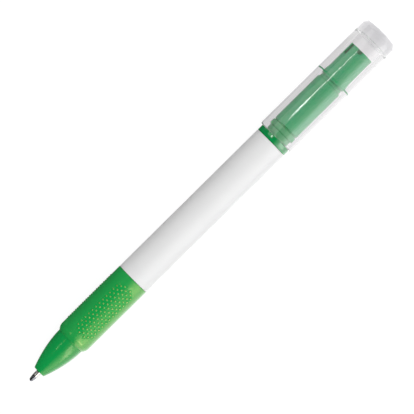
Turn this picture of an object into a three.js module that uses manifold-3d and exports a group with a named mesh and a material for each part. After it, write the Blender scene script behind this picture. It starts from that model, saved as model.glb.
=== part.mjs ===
// Twist-action ballpoint pen with a capped highlighter on its other end.
// Millimetres. The pen lies along X on its cap, tip towards -X, and Z is up.
import * as THREE from 'three';
import { mergeGeometries, mergeVertices } from 'three/addons/utils/BufferGeometryUtils.js';
import Module from 'manifold-3d';

// Fits
const seam = 0.08;             // gap between shells that meet end to end
const pressGap = 0.05;         // radial gap of a piece pressed into another
const runningGap = 0.1;        // radial gap of a piece that turns or slides in another
const seatGap = 0.1;           // gap where one piece is seated against another
const leadIn = 0.3;            // chamfer on the end of a piece that is pushed into another
const overcut = 1;             // how far a cutter reaches past what it cuts

// Motion
const twistAngle = THREE.MathUtils.degToRad(150);
const refillTravel = 5.5;      // how far the point draws back over the whole twist

// Number of flats on the round pieces
const shellSides = 24;
const innerSides = 24;
const smallSides = 16;

// Writing point
const ballRadius = 0.5;
const ballProtrusion = 0.38;   // ball in front of the lip
const lipRadius = 0.6;
const pointRadius = 0.86;      // straight part of the metal point
const pointConeLength = 1.85;
const pointStepRadius = 1.15;
const pointStepLength = 3.3;
const pointStemLength = 2.4;   // part of the point inside the refill tube
const inkDuctRadius = 0.3;
const socketGap = 0.03;        // room for ink round the ball
const lipGap = 0.005;
const ductTaper = 0.2;         // from the ball's socket down to the ink duct
const stepTaper = 0.2;         // length of the slope up to the point's step

// Nose cone
const tipExposed = 3.84;       // ball front to nose front
const noseFrontRadius = 2;
const noseEdge = 0.15;         // rounding of the nose's front edge
const noseLength = 13.36;      // bare part in front of the grip
const noseEndRadius = 4.78;
const noseFullness = 1.83;     // exponent of the nose's outline
const noseThroatRadius = 1.05;
const noseThroatLength = 2.7;
const springSeatDepth = 5;     // nose front to the step that the spring stands on
const springChamberRadius = 2.3;
const noseRearBoreRadius = 3.3;
const spigotLength = 7;        // part of the nose cone inside the barrel

// Rubber grip
const gripRadius = 5.65;
const gripWall = 1.15;
const gripLength = 26.55;
const gripShoulderRadius = 3;  // rounding of the grip's front shoulder
const gripEdge = 0.12;
const padCount = 3;
const padTilt = THREE.MathUtils.degToRad(11);   // first pad's centre from straight up, towards -Y
const padCentre = 13.7;        // from the grip's front edge
const padRows = [12, 13, 14, 13, 14, 13, 12];   // domes in each lengthwise row
const rowAngle = THREE.MathUtils.degToRad(10.5);
const domePitch = 1.49;
const domeRadius = 0.3;
const domeHeight = 0.16;
const domeRoot = 0.1;          // part of a dome sunk in the sleeve
const domeSides = 5;

// Barrel
const barrelRadius = 5.58;
const barrelLength = 58.6;
const barrelWall = 0.9;        // at both ends, where pieces are pressed in
const barrelWaistWall = 1.2;   // between them, which leaves a step at each end
const barrelEdge = 0.1;

// Twist mechanism, in the rear of the barrel
const bushLength = 2.6;
const bushInset = 0.1;
const drumEndPlay = 0.25;
const drumWeb = 2.6;           // closed rear part of the drum, with the key hole
const drumWall = 1.05;
const drumFrontLength = 1.5;   // drum in front of the tracks
const keyRadius = 2.5;         // hexagonal key of the holder, over its corners
const journalRadius = 3.6;
const grooveWidth = 1.1;
const grooveRadius = 2.9;
const followerRadius = 2.5;
const followerFront = 5.4;     // follower in front of its lugs
const followerRear = 3.2;      // follower behind its lugs
const lugRadius = 0.8;
const lugGap = 0.15;           // side clearance of the lugs in slots and tracks
const guideWall = 0.65;
const guideFlangeLength = 1.6;
const guideFront = 10;         // guide sleeve in front of the lugs
const trackEndAngle = 0.28;    // track beyond the lug's middle at each end, in radians
const trackSteps = 14;

// Refill
const tubeRadius = 1.5;
const tubeWall = 0.45;
const collarRadius = 2.1;
const collarLength = 0.8;
const plugLength = 3;
const plugVentRadius = 0.3;
const inkAirSpace = 12;        // empty tube between ink and plug

// Spring
const springLength = 15.6;     // with the point out
const springTurns = 11;
const springRadius = 1.85;     // to the middle of the wire
const wireRadius = 0.2;
const turnSteps = 8;
const wireSides = 5;

// Highlighter
const ringLength = 1.95;
const holderFloor = 1.45;      // ring front to the bottom of the reservoir bore
const neckRadius = 4.1;        // on both sides of the snap bead
const neckLead = 2;            // ring rear to the bead
const beadRadius = 4.6;
const beadLength = 2.2;
const beadRamp = 0.35;         // length of the slope at each end of the bead
const beadGap = 0.1;           // bead to the tube's shoulder
const holderShoulder = 0.4;    // chamfer at the tube's front end
const holderRadius = 4.5;
const holderWall = 0.8;
const holderLength = 18.5;     // tube behind the neck
const holderEdge = 0.4;
const sectionFlangeRadius = 4.05;
const sectionFlangeLength = 0.9;
const sectionPlugLength = 4.5;
const sectionNoseRadius = 3.25;
const sectionTipRadius = 2.45;
const sectionRound = sectionNoseRadius - sectionTipRadius;
const sectionNoseLength = 3.4;
const nibRadius = 1.75;
const nibExposed = 4.3;
const nibStem = 3;             // part of the nib inside the reservoir
const nibChisel = 1.6;         // how far back the slanted face reaches
const nibThickness = 2.4;      // over the two flats of the chisel
const nibShoulder = 0.6;       // round part of the nib in front of the flats
const reservoirLength = 16.6;

// Inner cap
const linerRadius = 4.2;
const linerWall = 0.6;
const linerEndWall = 0.8;
const linerRimRadius = 4.45;
const linerRimLength = 1.5;
const linerTaper = 1.8;        // from the rim down to the tube
const linerLength = 12.6;
const linerGap = 0.29;         // nib section's flange to the inner cap
const linerPocket = 4.6;       // liner end to the bottom of the cap's bore
const ventDepth = 0.3;
const ventWidth = 1.3;
const ventLengths = [1.35, 4.2];
const ventAngles = [-6, -52].map(THREE.MathUtils.degToRad);

// Cap
const capRadius = 6.33;
const capEndWall = 4.3;
const capMouthEdge = 0.45;
const capEndRadius = 5.6;      // edge between the bevel and the crowned end
const capBevel = 1.35;
const capCrownRadius = 18;     // radius of the crown's arc
const capFlatRadius = 3.5;     // flat in the middle of the crown
const capMouthBoreRadius = 5;
const capMouthDepth = 4.4;
const capBoreRadius = 4.8;
const capStep = 1;             // length of the taper behind the mouth
const capLinerStep = 0.6;      // length of the taper in front of the liner
const capDome = 1.4;           // rounding at the bottom of the bore

// Stations along the axis, from the front of the ball
const noseFront = tipExposed;
const gripFront = noseFront + noseLength;
const gripRear = gripFront + gripLength;
const barrelFront = gripRear + seam;
const barrelRear = barrelFront + barrelLength;
const ringFront = barrelRear + seam;
const ringRear = ringFront + ringLength;
const capFront = ringRear + seam;
const beadFront = ringRear + neckLead;
const beadRear = beadFront + beadLength;
const neckRear = beadRear + beadGap;
const holderRear = neckRear + holderLength;
const flangeFront = holderRear + pressGap;
const flangeRear = flangeFront + sectionFlangeLength;
const sectionRear = flangeRear + sectionNoseLength;
const nibRear = sectionRear + nibExposed;
const linerFront = flangeRear + linerGap;
const linerRear = linerFront + linerLength;
const boreBottom = linerRear + linerPocket;
const capRear = boreBottom + capEndWall;
const bushRear = barrelRear - bushInset;
const bushFront = bushRear - bushLength;
const drumRear = bushFront - drumEndPlay;
const webFront = drumRear - drumWeb;
const lugStation = webFront - seatGap * 5 - refillTravel - followerRear;
const guideStation = lugStation - guideFront;
const tubeRear = lugStation - lugRadius - seatGap * 4;
const springSeat = noseFront + springSeatDepth;
const springFront = springSeat + seatGap;
const collarFront = springFront + springLength + seatGap;
const pointStepFront = noseFront + noseThroatLength + seatGap * 3;
const tubeFront = pointStepFront + pointStepLength + seatGap;

// Radii that follow from their neighbours
const barrelBoreRadius = barrelRadius - barrelWall;
const gripBoreRadius = gripRadius - gripWall;
const guideBoreRadius = followerRadius + runningGap;
const guideRadius = guideBoreRadius + guideWall;
const drumBoreRadius = guideRadius + runningGap;
const drumRadius = drumBoreRadius + drumWall;
const lugReach = drumRadius - runningGap * 2;
const bushBoreRadius = journalRadius + runningGap;
const holderBoreRadius = holderRadius - holderWall;
const tubeBoreRadius = tubeRadius - tubeWall;
const linerBoreRadius = linerRadius - linerWall;
const capLinerBoreRadius = linerRimRadius + pressGap;

const wasm = await Module();
wasm.setup();

// A closed geometry as a solid that can be joined or cut.
function solidOf(geometry) {
  const bare = geometry.index ? geometry.toNonIndexed() : geometry.clone();
  bare.deleteAttribute('normal');
  bare.deleteAttribute('uv');
  const merged = mergeVertices(bare, 1e-4);
  return new wasm.Manifold(new wasm.Mesh({
    numProp: 3,
    vertProperties: merged.attributes.position.array,
    triVerts: new Uint32Array(merged.index.array),
  }));
}

function geometryOf(solid) {
  const mesh = solid.getMesh();
  const geometry = new THREE.BufferGeometry();
  geometry.setAttribute('position', new THREE.BufferAttribute(mesh.vertProperties, 3));
  geometry.setIndex(new THREE.BufferAttribute(mesh.triVerts, 1));
  geometry.computeVertexNormals();
  return geometry;
}

function cut(geometry, ...cutters) {
  return geometryOf(cutters.reduce((solid, cutter) => solid.subtract(solidOf(cutter)), solidOf(geometry)));
}

function join(geometry, ...others) {
  return geometryOf(others.reduce((solid, other) => solid.add(solidOf(other)), solidOf(geometry)));
}

// Turns a profile of [radius, station] pairs about the pen's axis, which is Y here. Each radius is
// the distance to the flats, and one flat faces straight up and one straight down.
function turned(profile, sides) {
  const stretch = 1 / Math.cos(Math.PI / sides);
  const points = profile.map(([radius, station]) => new THREE.Vector2(radius * stretch, station));
  return new THREE.LatheGeometry(points, sides, Math.PI / sides);
}

// A tube's profile closes on itself: its first point is repeated at the end.
function turnedTube(profile, sides) {
  return turned([...profile, profile[0]], sides);
}

// Points of an arc in a profile, from one angle to another in degrees. Zero points outwards.
function arc(radius, station, size, from, to, steps) {
  return Array.from({ length: steps + 1 }, (_, i) => {
    const angle = THREE.MathUtils.degToRad(from + (to - from) * i / steps);
    return [radius + size * Math.cos(angle), station + size * Math.sin(angle)];
  });
}

function box(width, length, height, station) {
  return new THREE.BoxGeometry(width, length, height).translate(0, station, 0);
}

// Writing point

function writingBall() {
  return new THREE.SphereGeometry(ballRadius, smallSides, smallSides / 2).translate(0, ballRadius, 0);
}

function ballpointTip() {
  const socket = ballRadius + socketGap;
  const socketRear = ballRadius * 2 + pressGap;
  const stemRadius = tubeBoreRadius - pressGap;
  const coneRear = ballProtrusion + pointConeLength;
  const stemRear = tubeFront + pointStemLength;
  return turnedTube([
    [ballRadius + lipGap, ballProtrusion],
    [lipRadius, ballProtrusion],
    [pointRadius, coneRear],
    [pointRadius, pointStepFront],
    [pointStepRadius, pointStepFront + stepTaper],
    [pointStepRadius, tubeFront - seatGap],
    [stemRadius, tubeFront - seatGap],
    [stemRadius, stemRear],
    [inkDuctRadius, stemRear],
    [inkDuctRadius, socketRear + ductTaper],
    [socket, socketRear],
    [socket, ballRadius],
  ], smallSides);
}

// Nose cone, grip and barrel

function noseOutline() {
  const start = noseFront + noseEdge;
  const length = gripFront - start;
  const steps = 9;
  const outline = [];
  for (let i = 0; i <= steps; i++) {
    const along = i / steps;
    const rise = noseEndRadius - noseFrontRadius;
    outline.push([noseEndRadius - rise * (1 - along) ** noseFullness, start + along * length]);
  }
  return outline;
}

function noseCone() {
  const gripSeatRadius = gripBoreRadius - pressGap;
  const spigotRadius = barrelBoreRadius - pressGap;
  const chamberRear = collarFront + refillTravel + collarLength + seatGap * 5;
  return turnedTube([
    [noseThroatRadius, noseFront],
    [noseFrontRadius - noseEdge, noseFront],
    ...noseOutline(),
    [gripSeatRadius, gripFront],
    [gripSeatRadius, gripRear],
    [spigotRadius, barrelFront + barrelEdge],
    [spigotRadius, barrelFront + spigotLength - leadIn],
    [spigotRadius - leadIn, barrelFront + spigotLength],
    [noseRearBoreRadius, barrelFront + spigotLength],
    [noseRearBoreRadius, chamberRear + noseRearBoreRadius - springChamberRadius],
    [springChamberRadius, chamberRear],
    [springChamberRadius, springSeat],
    [pointStepRadius + runningGap * 2, springSeat],
    [pointStepRadius + runningGap * 2, noseFront + noseThroatLength],
    [noseThroatRadius, noseFront + noseThroatLength - stepTaper],
  ], shellSides);
}

function gripSleeve() {
  const rise = gripRadius - noseEndRadius;
  const startAngle = THREE.MathUtils.radToDeg(Math.acos(1 - rise / gripShoulderRadius));
  const shoulderLength = gripShoulderRadius * Math.sin(THREE.MathUtils.degToRad(startAngle));
  const front = gripFront + seam;
  return turnedTube([
    [gripBoreRadius, front],
    ...arc(gripRadius - gripShoulderRadius, front + shoulderLength, gripShoulderRadius, -startAngle, 0, 4),
    [gripRadius, gripRear - gripEdge],
    [gripRadius - gripEdge, gripRear],
    [gripBoreRadius, gripRear],
  ], shellSides);
}

// The domes of every pad, as cones whose roots sink into the sleeve. Neighbouring rows are
// staggered, because an even row and an odd row are both centred on the pad.
function gripDomes() {
  const height = domeHeight + domeRoot;
  const cone = new THREE.ConeGeometry(domeRadius * height / domeHeight, height, domeSides);
  cone.translate(0, gripRadius + domeHeight - height / 2, 0);
  const domes = [];
  for (let pad = 0; pad < padCount; pad++) {
    padRows.forEach((count, row) => {
      const turn = padTilt + pad * 2 * Math.PI / padCount + (row - (padRows.length - 1) / 2) * rowAngle;
      for (let i = 0; i < count; i++) {
        const station = gripFront + padCentre + (i - (count - 1) / 2) * domePitch;
        // The cone stands along Y: it is laid towards +Z, moved along the axis and turned about it.
        domes.push(cone.clone().rotateX(Math.PI / 2).translate(0, station, 0).rotateY(turn));
      }
    });
  }
  return mergeGeometries(domes);
}

function rubberGrip() {
  return join(gripSleeve(), gripDomes());
}

function barrel() {
  const waistBoreRadius = barrelRadius - barrelWaistWall;
  const waistFront = barrelFront + spigotLength + seatGap * 2;
  const waistRear = guideStation - seatGap;
  return turnedTube([
    [barrelBoreRadius, barrelFront],
    [barrelRadius - barrelEdge, barrelFront],
    [barrelRadius, barrelFront + barrelEdge],
    [barrelRadius, barrelRear - barrelEdge],
    [barrelRadius - barrelEdge, barrelRear],
    [barrelBoreRadius, barrelRear],
    [barrelBoreRadius, waistRear],
    [waistBoreRadius, waistRear],
    [waistBoreRadius, waistFront],
    [barrelBoreRadius, waistFront],
  ], shellSides);
}

// Refill

function refillTube() {
  return turnedTube([
    [tubeBoreRadius, tubeFront],
    [tubeRadius, tubeFront],
    [tubeRadius, collarFront],
    [collarRadius, collarFront],
    [collarRadius, collarFront + collarLength],
    [tubeRadius, collarFront + collarLength],
    [tubeRadius, tubeRear],
    [tubeBoreRadius, tubeRear],
  ], smallSides);
}

function inkColumn() {
  const radius = tubeBoreRadius - pressGap;
  const front = tubeFront + pointStemLength + seatGap;
  const rear = tubeRear - plugLength - inkAirSpace;
  return turned([[0, front], [radius, front], [radius, rear], [0, rear]], smallSides);
}

function refillPlug() {
  const radius = tubeBoreRadius - pressGap;
  return turnedTube([
    [plugVentRadius, tubeRear - plugLength],
    [radius, tubeRear - plugLength],
    [radius, tubeRear],
    [plugVentRadius, tubeRear],
  ], smallSides);
}

// Spring: a five-sided wire swept along a helix, its two ends closed.

function springPoint(turn) {
  const angle = turn * 2 * Math.PI;
  const rise = springLength - 2 * wireRadius;
  return new THREE.Vector3(
    springRadius * Math.cos(angle),
    springFront + wireRadius + rise * turn / springTurns,
    springRadius * Math.sin(angle),
  );
}

function returnSpring() {
  const steps = springTurns * turnSteps;
  const positions = [];
  const index = [];
  for (let i = 0; i <= steps; i++) {
    const centre = springPoint(i / turnSteps);
    const outward = new THREE.Vector3(centre.x, 0, centre.z).normalize();
    const ahead = springPoint((i + 0.5) / turnSteps).sub(springPoint((i - 0.5) / turnSteps)).normalize();
    const across = new THREE.Vector3().crossVectors(ahead, outward);
    for (let side = 0; side < wireSides; side++) {
      const angle = side * 2 * Math.PI / wireSides;
      const point = centre.clone()
        .addScaledVector(outward, wireRadius * Math.cos(angle))
        .addScaledVector(across, wireRadius * Math.sin(angle));
      positions.push(point.x, point.y, point.z);
    }
  }
  for (let i = 0; i < steps; i++) {
    for (let side = 0; side < wireSides; side++) {
      const next = (side + 1) % wireSides;
      const a = i * wireSides + side;
      const b = i * wireSides + next;
      index.push(a, b, a + wireSides, b, b + wireSides, a + wireSides);
    }
  }
  const last = steps * wireSides;
  for (let side = 1; side < wireSides - 1; side++) {
    index.push(0, side + 1, side);
    index.push(last, last + side, last + side + 1);
  }
  const geometry = new THREE.BufferGeometry();
  geometry.setAttribute('position', new THREE.Float32BufferAttribute(positions, 3));
  geometry.setIndex(index);
  geometry.computeVertexNormals();
  return geometry;
}

// Least distance between wires of neighbouring turns, measured on points of the wire's middle line.
function springGap() {
  const samples = 32;
  let least = Infinity;
  for (let i = 0; i <= springTurns * samples; i++) {
    for (let j = i + samples / 2; j <= Math.min(i + 2 * samples, springTurns * samples); j++) {
      least = Math.min(least, springPoint(i / samples).distanceTo(springPoint(j / samples)));
    }
  }
  return least - 2 * wireRadius;
}

// Twist mechanism

function lugBar(radius, reach) {
  const bar = new THREE.CylinderGeometry(radius, radius, 2 * reach, 12);
  return bar.rotateX(Math.PI / 2).translate(0, lugStation, 0);
}

function camFollower() {
  const front = lugStation - followerFront;
  const rear = lugStation + followerRear;
  const pocketRadius = tubeRadius + runningGap;
  const cup = turned([
    [0, tubeRear + seatGap],
    [pocketRadius, tubeRear + seatGap],
    [pocketRadius, front],
    [followerRadius - leadIn, front],
    [followerRadius, front + leadIn],
    [followerRadius, rear - leadIn],
    [followerRadius - leadIn, rear],
    [0, rear],
  ], innerSides);
  return join(cup, lugBar(lugRadius, lugReach));
}

function guideSleeve() {
  const rear = webFront - seatGap * 3;
  const sleeve = turnedTube([
    [guideBoreRadius, guideStation],
    [barrelBoreRadius - pressGap, guideStation],
    [barrelBoreRadius - pressGap, guideStation + guideFlangeLength],
    [guideRadius, guideStation + guideFlangeLength],
    [guideRadius, rear],
    [guideBoreRadius, rear],
  ], innerSides);
  const slotFront = lugStation - lugRadius - lugGap;
  const slotLength = rear + overcut - slotFront;
  const slots = box(2 * (lugRadius + lugGap), slotLength, 2 * barrelRadius, slotFront + slotLength / 2);
  return cut(sleeve, slots);
}

// The bar that cuts one helical track. It starts over the lug at rest and follows where the lug
// runs on the drum as the drum turns.
function trackCutter(startAngle) {
  const slope = refillTravel / twistAngle;
  const halfWidth = (lugRadius + lugGap) / Math.cos(Math.atan(slope / drumBoreRadius));
  const inner = guideRadius - guideWall / 2;
  const outer = drumRadius + overcut;
  const positions = [];
  const index = [];
  for (let i = 0; i <= trackSteps; i++) {
    const turn = -trackEndAngle + (twistAngle + 2 * trackEndAngle) * i / trackSteps;
    const along = THREE.MathUtils.clamp(turn, 0, twistAngle) * slope;
    // Turning the drum forwards brings an earlier part of its wall over the lug.
    const angle = startAngle - turn;
    for (const [radius, side] of [[inner, -1], [outer, -1], [outer, 1], [inner, 1]]) {
      positions.push(radius * Math.sin(angle), lugStation + along + side * halfWidth, radius * Math.cos(angle));
    }
  }
  for (let i = 0; i < trackSteps; i++) {
    for (let corner = 0; corner < 4; corner++) {
      const a = i * 4 + corner;
      const b = i * 4 + (corner + 1) % 4;
      index.push(a, b, a + 4, b, b + 4, a + 4);
    }
  }
  const last = trackSteps * 4;
  index.push(0, 2, 1, 0, 3, 2, last, last + 1, last + 2, last, last + 2, last + 3);
  const geometry = new THREE.BufferGeometry();
  geometry.setAttribute('position', new THREE.Float32BufferAttribute(positions, 3));
  geometry.setIndex(index);
  return geometry;
}

function camDrum() {
  const front = lugStation - lugRadius - lugGap - drumFrontLength;
  const keyHoleRadius = keyRadius + runningGap;
  const shell = turned([
    [0, webFront],
    [drumBoreRadius, webFront],
    [drumBoreRadius, front],
    [drumRadius, front],
    [drumRadius, drumRear],
    [0, drumRear],
  ], innerSides);
  const keyHole = turned([
    [0, webFront - overcut],
    [keyHoleRadius, webFront - overcut],
    [keyHoleRadius, drumRear + overcut],
    [0, drumRear + overcut],
  ], 6);
  // The lugs enter the tracks through two short ways from the drum's front edge.
  const entryLength = lugStation - front + overcut;
  const entry = box(2 * (lugRadius + lugGap), entryLength, 4 * drumRadius, lugStation - entryLength / 2);
  return cut(shell, keyHole, entry, trackCutter(0), trackCutter(Math.PI));
}

function rearBush() {
  const outer = barrelBoreRadius - pressGap;
  return turnedTube([
    [bushBoreRadius, bushFront],
    [outer - leadIn, bushFront],
    [outer, bushFront + leadIn],
    [outer, bushRear],
    [bushBoreRadius, bushRear],
  ], innerSides);
}

function frictionRing() {
  const inner = grooveRadius + pressGap;
  const outer = bushBoreRadius - pressGap;
  const section = (outer - inner) / 2;
  const profile = arc(inner + section, (bushFront + bushRear) / 2, section, 0, 360, 8);
  return turnedTube(profile.slice(0, -1), innerSides);
}

// Highlighter

function holderKey() {
  const front = webFront + seatGap * 2;
  const rear = drumRear + seatGap * 2;
  return turned([[0, front], [keyRadius, front], [keyRadius, rear], [0, rear]], 6);
}

function highlighterHolder() {
  const grooveFront = (bushFront + bushRear - grooveWidth) / 2;
  const grooveEnd = grooveFront + grooveWidth;
  const floor = ringFront + holderFloor;
  const body = turned([
    [0, drumRear + seatGap],
    [journalRadius, drumRear + seatGap],
    [journalRadius, grooveFront],
    [grooveRadius, grooveFront],
    [grooveRadius, grooveEnd],
    [journalRadius, grooveEnd],
    [journalRadius, ringFront],
    [barrelRadius, ringFront],
    [barrelRadius, ringRear],
    [neckRadius, ringRear],
    [neckRadius, beadFront],
    [beadRadius, beadFront + beadRamp],
    [beadRadius, beadRear - beadRamp],
    [neckRadius, beadRear],
    [neckRadius, neckRear],
    [holderRadius, neckRear + holderShoulder],
    [holderRadius, holderRear - holderEdge],
    [holderRadius - holderEdge, holderRear],
    [holderBoreRadius, holderRear],
    [holderBoreRadius, floor],
    [0, floor],
  ], shellSides);
  return join(body, holderKey());
}

function nibSection() {
  const plugRadius = holderBoreRadius - pressGap;
  const holeRadius = nibRadius + pressGap;
  return turnedTube([
    [holeRadius, holderRear - sectionPlugLength],
    [plugRadius - leadIn, holderRear - sectionPlugLength],
    [plugRadius, holderRear - sectionPlugLength + leadIn],
    [plugRadius, flangeFront],
    [sectionFlangeRadius, flangeFront],
    [sectionFlangeRadius, flangeRear - stepTaper],
    [sectionNoseRadius, flangeRear],
    ...arc(sectionTipRadius, sectionRear - sectionRound, sectionRound, 0, 90, 3),
    [holeRadius, sectionRear],
  ], shellSides);
}

function inkReservoir() {
  const front = ringFront + holderFloor + seatGap;
  const rear = front + reservoirLength;
  const radius = holderBoreRadius - pressGap;
  const socketRadius = nibRadius + pressGap;
  const socketFront = nibFront() - seatGap;
  return turned([
    [0, front],
    [radius - leadIn, front],
    [radius, front + leadIn],
    [radius, rear],
    [socketRadius, rear],
    [socketRadius, socketFront],
    [0, socketFront],
  ], innerSides);
}

function nibFront() {
  const reservoirRear = ringFront + holderFloor + seatGap + reservoirLength;
  return reservoirRear - nibStem;
}

function highlighterNib() {
  const front = nibFront();
  const rod = turned([[0, front], [nibRadius, front], [nibRadius, nibRear], [0, nibRear]], smallSides);
  const reach = 4 * nibRadius;
  const slant = Math.atan2(nibChisel, 2 * nibRadius);
  const slantCutter = new THREE.BoxGeometry(2 * reach, reach, 2 * reach);
  slantCutter.translate(0, reach / 2, 0).rotateZ(slant).translate(0, nibRear - nibChisel / 2, 0);
  const flats = [-1, 1].map((side) => {
    const flat = new THREE.BoxGeometry(2 * reach, nibExposed, reach);
    return flat.translate(0, sectionRear + nibShoulder + nibExposed / 2, side * (nibThickness + reach) / 2);
  });
  return cut(rod, slantCutter, ...flats);
}

// Cap

function innerCap() {
  const liner = turned([
    [0, linerRear - linerEndWall],
    [linerBoreRadius, linerRear - linerEndWall],
    [linerBoreRadius, linerFront + linerRimLength + linerTaper],
    [linerRimRadius - linerWall / 2, linerFront],
    [linerRimRadius, linerFront + stepTaper],
    [linerRimRadius, linerFront + linerRimLength],
    [linerRadius, linerFront + linerRimLength + linerTaper],
    [linerRadius, linerRear],
    [0, linerRear],
  ], shellSides);
  const vents = ventLengths.map((length, i) => {
    const vent = new THREE.BoxGeometry(ventWidth, length + overcut, overcut);
    vent.translate(0, linerRear + (overcut - length) / 2, linerRadius - ventDepth + overcut / 2);
    return vent.rotateY(ventAngles[i]);
  });
  return cut(liner, ...vents);
}

// Depth of the crowned end behind its highest plane, at a distance from the axis.
function crownDepth(radius) {
  return capCrownRadius - Math.sqrt(capCrownRadius ** 2 - radius ** 2);
}

function cap() {
  const mouthRear = capFront + capMouthDepth;
  const narrow = linerFront - seatGap;
  const crownMiddle = (capEndRadius + capFlatRadius) / 2;
  const crownTop = capRear + crownDepth(capFlatRadius);
  return turned([
    [0, boreBottom],
    ...arc(capLinerBoreRadius - capDome, boreBottom - capDome, capDome, 90, 0, 2),
    [capLinerBoreRadius, narrow],
    [capBoreRadius, narrow - capLinerStep],
    [capBoreRadius, mouthRear + capStep],
    [capMouthBoreRadius, mouthRear],
    [capMouthBoreRadius, capFront],
    ...arc(capRadius - capMouthEdge, capFront + capMouthEdge, capMouthEdge, -90, 0, 2),
    [capRadius, crownTop - crownDepth(capEndRadius) - capBevel],
    [capEndRadius, crownTop - crownDepth(capEndRadius)],
    [crownMiddle, crownTop - crownDepth(crownMiddle)],
    [capFlatRadius, capRear],
    [0, capRear],
  ], shellSides);
}

// Colours and finishes

const greenAbs = new THREE.MeshStandardMaterial({ color: '#0c9547', roughness: 0.28 });
const greenRubber = new THREE.MeshStandardMaterial({ color: '#0fa04a', roughness: 0.75 });
const whiteAbs = new THREE.MeshStandardMaterial({ color: '#f1f1f1', roughness: 0.4 });
const clearGreen = new THREE.MeshStandardMaterial({
  color: '#35a45a', roughness: 0.2, transparent: true, opacity: 0.85,
});
const clearPlastic = new THREE.MeshStandardMaterial({
  color: '#f3f1f2', roughness: 0.05, transparent: true, opacity: 0.25,
});
const nickelSilver = new THREE.MeshStandardMaterial({ color: '#b9b7b4', roughness: 0.25, metalness: 1 });
const carbide = new THREE.MeshStandardMaterial({ color: '#4a4a4d', roughness: 0.2, metalness: 1 });
const springSteel = new THREE.MeshStandardMaterial({ color: '#9c9da0', roughness: 0.3, metalness: 1 });
const naturalPlastic = new THREE.MeshStandardMaterial({
  color: '#e6e6df', roughness: 0.35, transparent: true, opacity: 0.6,
});
const acetal = new THREE.MeshStandardMaterial({ color: '#e9e7e0', roughness: 0.5 });
const blueInk = new THREE.MeshStandardMaterial({ color: '#14246e', roughness: 0.3 });
const blackRubber = new THREE.MeshStandardMaterial({ color: '#222222', roughness: 0.8 });
const inkedFibre = new THREE.MeshStandardMaterial({ color: '#7be36a', roughness: 0.95 });

function piece(name, geometry, material) {
  const mesh = new THREE.Mesh(geometry, material);
  mesh.name = name;
  return mesh;
}

function unit(...members) {
  const group = new THREE.Group();
  group.add(...members);
  return group;
}

const refill = unit(
  piece('writing_ball', writingBall(), carbide),
  piece('ballpoint_tip', ballpointTip(), nickelSilver),
  piece('refill_tube', refillTube(), naturalPlastic),
  piece('ink_column', inkColumn(), blueInk),
  piece('refill_plug', refillPlug(), acetal),
  piece('cam_follower', camFollower(), acetal),
);

const writingHalf = unit(
  piece('nose_cone', noseCone(), greenAbs),
  piece('rubber_grip', rubberGrip(), greenRubber),
  piece('barrel', barrel(), whiteAbs),
  piece('return_spring', returnSpring(), springSteel),
  piece('guide_sleeve', guideSleeve(), acetal),
  piece('rear_bush', rearBush(), acetal),
);

const capUnit = unit(
  piece('cap', cap(), clearPlastic),
  piece('inner_cap', innerCap(), clearGreen),
);

const highlighterHalf = unit(
  piece('cam_drum', camDrum(), acetal),
  piece('friction_ring', frictionRing(), blackRubber),
  piece('highlighter_holder', highlighterHolder(), clearGreen),
  piece('nib_section', nibSection(), clearGreen),
  piece('ink_reservoir', inkReservoir(), inkedFibre),
  piece('highlighter_nib', highlighterNib(), inkedFibre),
  capUnit,
);

console.log(`return spring: least gap between its turns ${springGap().toFixed(2)} mm`);

// The pieces stand along Y. The whole pen is laid along X, on the cap's lowest flat.
const pen = unit(refill, writingHalf, highlighterHalf);
pen.rotation.z = -Math.PI / 2;
pen.position.set(-capRear / 2, 0, capRadius);

const part = unit(pen);

export default part;
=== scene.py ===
import math

import bpy
import numpy as np
from mathutils import Matrix, Vector


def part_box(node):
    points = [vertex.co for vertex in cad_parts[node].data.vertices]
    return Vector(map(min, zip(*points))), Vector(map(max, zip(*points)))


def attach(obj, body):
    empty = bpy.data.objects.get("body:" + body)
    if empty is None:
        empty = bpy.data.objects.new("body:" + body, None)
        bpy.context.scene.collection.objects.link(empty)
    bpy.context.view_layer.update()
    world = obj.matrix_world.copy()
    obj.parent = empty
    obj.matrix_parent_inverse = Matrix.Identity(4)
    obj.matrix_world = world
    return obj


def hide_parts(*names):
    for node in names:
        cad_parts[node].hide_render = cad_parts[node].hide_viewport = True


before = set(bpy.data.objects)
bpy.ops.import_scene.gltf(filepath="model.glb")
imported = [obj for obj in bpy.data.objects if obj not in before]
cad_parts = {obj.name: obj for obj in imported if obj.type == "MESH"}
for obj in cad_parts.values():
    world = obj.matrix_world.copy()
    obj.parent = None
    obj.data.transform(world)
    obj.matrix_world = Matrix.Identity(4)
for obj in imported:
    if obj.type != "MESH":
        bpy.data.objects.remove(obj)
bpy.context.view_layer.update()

# Twist ballpoint pen with a capped highlighter on its other end. The pen lies along X with the
# writing tip at -X. Outlines are in millimetres: distance from the front of the ball, then radius.

mm = 0.001
weldDistance = 0.002 * mm    # points of an outline closer than this are one
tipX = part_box("writing_ball")[0].x
axisZ = (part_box("cap")[0].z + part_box("cap")[1].z) / 2


def ends(node):
    # Distances of a node's front and rear from the front of the ball, in millimetres.
    return [(corner.x - tipX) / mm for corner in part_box(node)]


pointRear = ends("ballpoint_tip")[1]
noseFront, noseRear = ends("nose_cone")
gripFront, gripRear = ends("rubber_grip")
barrelFront, barrelRear = ends("barrel")
guideFront = ends("guide_sleeve")[0]
bushFront, bushRear = ends("rear_bush")
holderFront, holderRear = ends("highlighter_holder")
sectionRear = ends("nib_section")[1]
nibFront, nibRear = ends("highlighter_nib")
capFront, capRear = ends("cap")
linerFront, linerRear = ends("inner_cap")


# Modelling helpers

def deselectAll():
    for item in list(bpy.context.selected_objects):
        item.select_set(False)


def makeActive(piece):
    deselectAll()
    piece.select_set(True)
    bpy.context.view_layer.objects.active = piece


def penPoint(along, radius):
    return (tipX + along * mm, 0, axisZ + radius * mm)


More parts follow.
